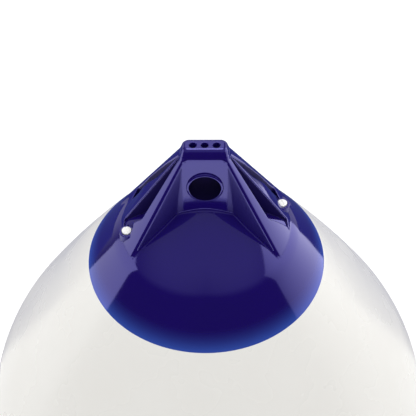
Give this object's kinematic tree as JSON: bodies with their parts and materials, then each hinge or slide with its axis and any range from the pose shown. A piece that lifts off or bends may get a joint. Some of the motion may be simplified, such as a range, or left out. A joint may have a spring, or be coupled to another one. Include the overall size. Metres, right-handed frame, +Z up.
{
  "type": "mooring buoy",
  "caption": "Inflatable teardrop mooring buoy with a round white float, a ribbed blue end that carries a rope eye, and screw-plugged air valves.",
  "frame": {"origin": "centre of the rope eye, on the buoy's upright axis", "axes": "+Z up along the buoy's axis from the round float to the rope eye's head, +Y along the rope eye, +X along the two wings of ribs"},
  "size_m": [0.6858, 0.6858, 0.9127],
  "materials": {
    "white_vinyl": "smooth glossy moulded vinyl",
    "blue_vinyl": "smooth glossy moulded vinyl",
    "white_nylon": "plain turned nylon"
  },
  "bodies": {
    "root": {"float_body": "white_vinyl", "eye_end": "blue_vinyl", "valve_insert_left": "white_nylon", "valve_insert_right": "white_nylon", "valve_screw_left": "white_nylon", "valve_screw_right": "white_nylon"}
  },
  "joints": []
}
